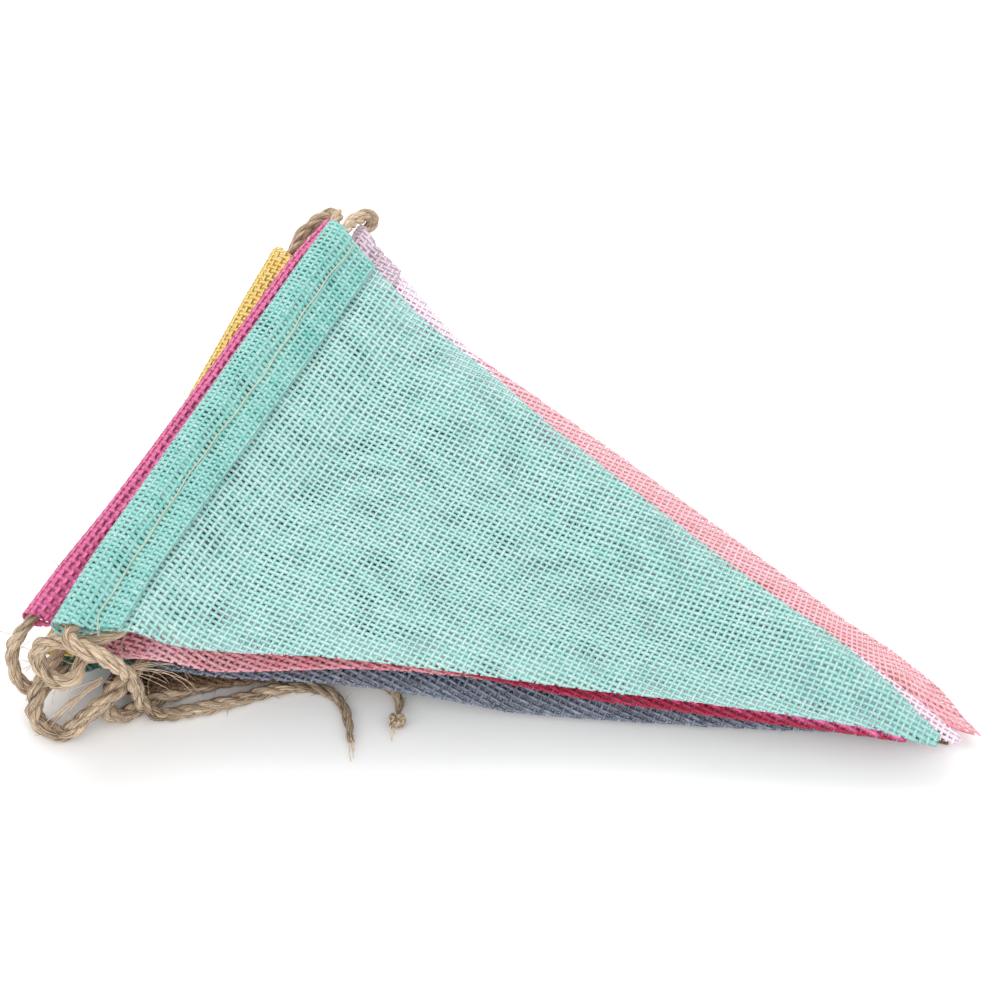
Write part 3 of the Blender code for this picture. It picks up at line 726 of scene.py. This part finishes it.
# What changes the tone of a yarn: the way to the tip, a painted highlight where it lies on top,
# thin patches, chance by yarn and by place, painted shade on the fold and the folded flap, and
# painted light round the yarn, paler on its top and deeper at its sides.
TIP_DEEPER = 0.08
OVER_PAINTED_HIGHLIGHT = 0.10
PATCH_DEEPER = 0.05
ROW_TONE = 0.035
PLACE_TONE = 0.07
FLAP_PAINTED_SHADE = 0.07
SIDE_PAINTED_LIGHT = np.array([-0.07, 0.08, -0.07, -0.05])
# Painted shade on the near side of a cloth, under the pennant above it: how fast and from where it
# comes in across, and along from the hem.
NEAR_SHADE_SLOPE = 5.0
NEAR_SHADE_START = 3.6
NEAR_SHADE_ALONG = 30.0
# Grain of the fibres on a yarn: from yarn to yarn, round a yarn and along it.
YARN_GRAIN = np.array([3.7, 0.9, 0.45])
# Passes that soften the CAD under-face, the least half width of the cloth, the radius of the middle
# of the folded cloth and its length round the fold.
FACE_PASSES = 3
LEAST_HALF = 0.4
FOLD_MIDDLE = FOLD_R - 0.5 * CLOTH
NOSE_LENGTH = math.pi * FOLD_MIDDLE


def softened_face(pennant):
    """The CAD under-face with its facets softened a little along and across."""
    field = pennant["face"]
    for _ in range(FACE_PASSES):
        padded = np.pad(field, 1, mode="edge")
        field = (padded[:-2, 1:-1] + 2.0 * field + padded[2:, 1:-1]) / 4.0
        padded = np.pad(field, 1, mode="edge")
        field = (padded[1:-1, :-2] + 2.0 * field + padded[1:-1, 2:]) / 4.0
    return field


def face_height(pennant, u, s):
    """Height of the under-face between the points of its fine grid."""
    field = pennant["fine"]
    i = np.clip(u / FINE_STEP, 0.0, field.shape[0] - 1.001)
    j = np.clip((s + 1.0) * 0.5 * (FINE_COLUMNS - 1), 0.0, FINE_COLUMNS - 1.001)
    i0 = i.astype(int)
    j0 = j.astype(int)
    a = i - i0
    b = j - j0
    low = field[i0, j0] * (1.0 - a) + field[i0 + 1, j0] * a
    high = field[i0, j0 + 1] * (1.0 - a) + field[i0 + 1, j0 + 1] * a
    return low * (1.0 - b) + high * b


def smooth_step(value):
    """Ease from 0 to 1 with level ends."""
    value = np.clip(value, 0.0, 1.0)
    return value * value * (3.0 - 2.0 * value)


def across_share(pennant, u, v):
    """Place s from side to side (-1 to 1) of a yarn at v millimetres from the cloth's middle."""
    bulge = 0.5 * np.sin(np.pi * np.clip(u / pennant["length"], 0.0, 1.0))
    half = half_width(pennant, u) - bulge * (pennant["bow"] + pennant["draw"])
    return (v - bulge * (pennant["bow"] - pennant["draw"])) / np.maximum(half, LEAST_HALF)


def cloth_point(pennant, w, v):
    """Point of the cloth's middle surface: w runs from the fold along the cloth (above 0) and round
    the fold to the flap (below 0), v across. Returns the point, the distance u and the share s."""
    body = w >= 0.0
    flap = w < -NOSE_LENGTH
    bend = np.clip(-w / FOLD_MIDDLE, 0.0, math.pi)
    flap_u = FOLD_R - w - NOSE_LENGTH
    nose_u = FOLD_R - FOLD_MIDDLE * np.sin(bend)
    u = np.where(body, FOLD_R + w, np.where(flap, flap_u, nose_u))
    s = across_share(pennant, np.maximum(u, 0.0), v)
    kept = np.clip(s, -1.0, 1.0)
    fall = smooth_step((u - pennant["twine"]) / FLAP_FALL)
    flap_height = 2.0 * FOLD_R - fall * (2.0 * FOLD_R - FLAP_TOP) - 0.5 * CLOTH
    nose_height = FOLD_R - FOLD_MIDDLE * np.cos(bend)
    height = np.where(body, 0.5 * CLOTH, np.where(flap, flap_height, nose_height))
    share = u / pennant["length"]
    across = v + pennant["lean"] * share
    along = u + pennant["cut"] * kept * np.clip(share, 0.0, 1.05) ** 4
    turn = math.radians(pennant["turn"])
    x = pennant["x"] + along * math.cos(turn) - across * math.sin(turn)
    y = pennant["y"] + along * math.sin(turn) + across * math.cos(turn)
    z = face_height(pennant, np.maximum(u, FOLD_R), kept) + height
    return np.stack([x, y, z], axis=-1), u, s


def cut_edges(pennant, w):
    """Near and far edge of the cut cloth, in millimetres across, at the place w along it."""
    u = np.where(w >= 0.0, FOLD_R + w, np.where(w < -NOSE_LENGTH, FOLD_R - w - NOSE_LENGTH, FOLD_R))
    share = across_share(pennant, u, np.stack([np.zeros_like(u), np.ones_like(u)]))
    return (-1.0 - share[0]) / (share[1] - share[0]), (1.0 - share[0]) / (share[1] - share[0])


def weave(pennant, cloth, material):
    """Warp and weft of one pennant. The cuts of the cloth are the points for each crossing. The
    yarns go over and under by the cosine of the sum of both yarn numbers, drift sideways in waves,
    are thinner in patches where two waves meet, and end at the cut edges, a little frayed."""
    cuts = cloth["cuts"]
    cloth_length = pennant["length"] - FOLD_R
    flap_length = NOSE_LENGTH + FLAP_END - FOLD_R
    weft_low = -int(flap_length / WEFT_PITCH) - 1
    weft_high = int(cloth_length / WEFT_PITCH) + 1
    warp_high = int(0.5 * pennant["width"] / WARP_PITCH) + 1
    phase = 0.1 * pennant["width"] + 0.7 * pennant["x"]
    made = []
    for kind in ("warp", "weft"):
        warp_steps = cuts if kind == "weft" else 1
        weft_steps = cuts if kind == "warp" else 1
        i = np.arange(-warp_high * warp_steps, warp_high * warp_steps + 1) / warp_steps
        k = np.arange(weft_low * weft_steps, weft_high * weft_steps + 1) / weft_steps
        if kind == "warp":
            warp_place, weft_place = np.meshgrid(i, k, indexing="ij")
        else:
            weft_place, warp_place = np.meshgrid(k, i, indexing="ij")
        drift_v = DRIFT * np.sin(0.37 * weft_place + 1.7 * np.sin(0.9 * warp_place) + phase)
        drift_w = DRIFT * np.sin(0.31 * warp_place + 1.9 * np.sin(0.7 * weft_place) + phase)
        v = warp_place * WARP_PITCH + drift_v
        w = weft_place * WEFT_PITCH + drift_w
        rows, count = w.shape
        points, u, s = cloth_point(pennant, w, v)
        along_rows = unit(np.gradient(points, axis=1))
        along_columns = unit(np.gradient(points, axis=0))
        ways = (along_rows, along_columns) if kind == "warp" else (along_columns, along_rows)
        normal = unit(np.cross(*ways))
        over = np.cos(np.pi * (warp_place + weft_place)) * (1.0 if kind == "warp" else -1.0)
        ripple = 0.34 * weft_place + 2.1 * np.sin(0.16 * warp_place + phase)
        patch_a = np.sin(ripple + 1.1 * np.sin(0.43 * warp_place))
        patch_b = np.sin(0.31 * warp_place + 2.3 * np.sin(0.19 * weft_place + 2.0 * phase))
        thin_patch = np.clip(PATCH_CONTRAST * patch_a * patch_b - PATCH_LEVEL, 0.0, 1.0)
        thin = uneven.normal(0.0, ROW_UNEVEN, (rows, 1))
        thin = thin + uneven.normal(0.0, PLACE_UNEVEN, (rows, count)) - PATCH_THINNER * thin_patch
        in_hem = w < FLAP_END - FOLD_R
        usual = WARP_WIDE if kind == "warp" else WEFT_WIDE
        wide = min(usual * cloth["cover"], WIDEST)
        wide = wide * (1.0 + np.clip(thin, *THIN_LIMITS))
        half = 0.5 * np.where(in_hem, HEM_FULLER * wide, wide)
        fray = np.abs(uneven.normal(0.0, FRAY, (rows, 1)))
        rails = []
        for sign in (-1.0, 1.0):
            rail_w = w if kind == "warp" else w + sign * half
            rail_w = np.clip(rail_w, -flap_length - fray, cloth_length + fray)
            near, far = cut_edges(pennant, rail_w)
            rail_v = v + sign * half if kind == "warp" else v
            rails.append((rail_w, np.clip(rail_v, near - fray, far + fray)))
        near, far = cut_edges(pennant, np.clip(w, -flap_length, cloth_length))
        step_v = WARP_PITCH / warp_steps if kind == "weft" else half
        step_w = WEFT_PITCH / weft_steps if kind == "warp" else half
        kept = (v > near - step_v) & (v < far + step_v)
        kept = kept & (w > -flap_length - step_w) & (w < cloth_length + step_w)
        rise = normal * (WEAVE_RISE * over)[..., None]
        left, right = (cloth_point(pennant, *rail)[0] + rise for rail in rails)
        if kind == "weft":
            left, right = right, left
        lift = normal * 0.5 * YARN_THICK
        vertices, faces, place = yarns(left, right, lift, kept, cloth["sides"])
        piece = mesh_piece(pennant["name"] + "_" + kind, vertices, faces, material)
        # Painted shade: the near side of the cloth deepens where the pennant above shades it.
        near_painted_shade = cloth["near"] * smooth_step(-NEAR_SHADE_SLOPE * s - NEAR_SHADE_START)
        near_painted_shade = near_painted_shade * smooth_step((w - FLAP_END) / NEAR_SHADE_ALONG)
        tip_tone = TIP_DEEPER * np.clip(w / cloth_length, 0.0, 1.0) ** 2
        # Painted highlight: a yarn is paler where it lies on top at a crossing and deeper where it
        # goes under.
        tone = cloth["tone"] + near_painted_shade - tip_tone + OVER_PAINTED_HIGHLIGHT * over - PATCH_DEEPER * thin_patch
        tone = tone + uneven.normal(0.0, ROW_TONE, (rows, 1))
        tone = tone + uneven.normal(0.0, PLACE_TONE, (rows, count))
        # Painted shade: the fold and the folded flap of the hem are deeper.
        tone = tone - np.where(in_hem & (w <= 0.0), FLAP_PAINTED_SHADE, 0.0)
        # Painted light round the yarn: paler on its top, deeper at its sides and underneath.
        tone = tone[place[0], place[1]] + SIDE_PAINTED_LIGHT[place[2]]
        lay = np.stack([place[0], place[2], place[1] / cuts], axis=-1) * YARN_GRAIN
        add_fibre_fields(piece, tone, lay)
        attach(piece, "root")
        made.append(piece)
    return made


# The seam's distance from the fold line, its stitches and thread, how near the sides it ends, the
# step of its points, how high it lies on the flap and how low under the cloth, and how sharply it
# dips at a stitch.
STITCH_AT = 9.7
STITCH_LENGTH = 2.7
THREAD_WIDE = 0.46
SEAM_INSET = 0.8
SEAM_STEP = 0.9
THREAD_ABOVE = np.array([0.0, 0.0, 0.36])
THREAD_BELOW = np.array([0.0, 0.0, 0.32])
DIP_SHARPNESS = 1.3
# Where the seam runs out at the near end: from how far off the end, and how fast it turns away.
RUN_OUT = 4.0
RUN_OUT_SLOPE = 0.47
# Grain and shade of the thread, and the painted light that makes it paler on top of a stitch and
# deeper where it dips into the cloth.
THREAD_GRAIN = np.array([5.0, 0.5, 0.8])
THREAD_SHADE = 0.4
STITCH_PAINTED_LIGHT = 0.3


def stitching(pennant, material):
    """Sewing thread that holds the flap down: one line of stitches on top and one underneath,
    dipping into the cloth at each stitch, with a kink where the seam runs out at the near end."""
    half = 0.5 * pennant["width"] * (1.0 - STITCH_AT / pennant["length"]) - SEAM_INSET
    v = np.linspace(-half, half, int(half * 2.0 / SEAM_STEP))
    wave = 0.35 * np.sin(0.09 * v + pennant["turn"]) + 0.16 * np.sin(0.41 * v)
    u = STITCH_AT + wave + RUN_OUT_SLOPE * np.clip(RUN_OUT - half - v, 0.0, None)
    flap_w = -(NOSE_LENGTH + u - FOLD_R)
    dip = np.clip(DIP_SHARPNESS * np.abs(np.cos(np.pi * v / STITCH_LENGTH)), 0.0, 1.0)
    top = cloth_point(pennant, flap_w, v)[0] + THREAD_ABOVE * dip[:, None]
    under = cloth_point(pennant, u - FOLD_R, v)[0] - THREAD_BELOW * dip[::-1, None]
    lines = np.stack([top, under])
    ways = unit(np.gradient(lines, axis=1))
    side = unit(np.cross(ways, [0.0, 0.0, 1.0]))
    across = side * 0.5 * THREAD_WIDE
    vertices, faces, place = yarns(
        lines - across, lines + across, np.cross(side, ways) * 0.5 * THREAD_WIDE,
        kept=np.ones(lines.shape[:2], dtype=bool), sides=4,
    )
    piece = mesh_piece(pennant["name"] + "_stitching", vertices, faces, material)
    lay = np.stack([place[0], place[2], place[1]], axis=-1) * THREAD_GRAIN
    # Painted light: the thread is paler where it rides on top and deeper where it dips into the
    # cloth.
    add_fibre_fields(piece, THREAD_SHADE + STITCH_PAINTED_LIGHT * dip[place[1]], lay)
    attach(piece, "root")
    return piece


# Deep and pale are the two tones of the yarns, and thread is the sewing thread. Tone is the usual
# place between deep and pale. Near is the painted shade it gains at the near side, where the
# pennant above shades it. Streaky is the contrast of the yarns, cover widens them. Cuts are the
# points for each crossing, sides those round a yarn.
CLOTH_COLUMNS = (
    "name", "deep", "pale", "thread", "tone", "near", "streaky", "cover", "cuts", "sides", "below",
)
CLOTHS = (
    # Amber is partly its own burnt orange and partly painted shade: its tones are deepened so its
    # near corner, low under the stack, looks shaded.
    ("amber", (0.06, 0.03, 0.015), (0.30, 0.16, 0.07), (0.60, 0.42, 0.22),
     0.52, 0.0, 0.6, 1.0, 1, 3, "table_top"),
    ("teal", (0.02, 0.11, 0.09), (0.10, 0.34, 0.28), (0.42, 0.55, 0.42),
     0.52, 0.0, 0.6, 1.0, 1, 3, "amber_warp"),
    ("navy", (0.008, 0.012, 0.04), (0.46, 0.54, 0.70), (0.45, 0.47, 0.48),
     0.44, 0.0, 1.1, 1.0, 1, 3, "teal_warp"),
    ("yellow", (0.95, 0.58, 0.09), (1.00, 0.92, 0.36), (0.85, 0.72, 0.45),
     0.52, 0.0, 0.6, 1.04, 1, 3, "navy_warp"),
    ("coral", (0.80, 0.11, 0.17), (1.00, 0.64, 0.69), (0.80, 0.62, 0.52),
     0.70, -0.3, 0.6, 1.14, 1, 3, "yellow_warp"),
    ("magenta", (0.45, 0.010, 0.06), (1.00, 0.21, 0.49), (0.85, 0.50, 0.50),
     0.94, -1.0, 0.5, 1.12, 1, 3, "coral_warp"),
    ("lilac", (0.84, 0.62, 0.76), (1.00, 0.84, 0.95), (0.80, 0.68, 0.70),
     0.66, 0.0, 0.6, 1.0, 1, 3, "magenta_warp"),
    ("mint", (0.06, 0.45, 0.40), (0.60, 0.81, 0.765), (0.62, 0.68, 0.55),
     0.53, 0.0, 0.6, 1.0, 2, 4, "lilac_warp"),
)
# Sheen of the yarns and the deep tone of a thread.
YARN_SHEEN = 0.12
THREAD_DEEPER = 0.6
for row in CLOTHS:
    cloth = dict(zip(CLOTH_COLUMNS, row))
    pennant = pennants[cloth["name"]]
    pennant["fine"] = softened_face(pennant)
    yarn_material = fibre_material(
        cloth["name"] + "_yarn", deep=cloth["deep"], pale=cloth["pale"],
        roughness=0.42, streaks=1.6, contrast=cloth["streaky"], ridges=0.25,
    )
    yarn_shader = yarn_material.node_tree.nodes["Principled BSDF"]
    yarn_shader.inputs["Sheen Weight"].default_value = YARN_SHEEN
    warp, weft = weave(pennant, cloth, yarn_material)
    thread_material = fibre_material(
        cloth["name"] + "_thread", deep=[THREAD_DEEPER * c for c in cloth["thread"]],
        pale=cloth["thread"], roughness=0.5, streaks=2.0, contrast=0.4, ridges=0.2,
    )
    thread = stitching(pennant, thread_material)
    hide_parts("pennant_" + cloth["name"])
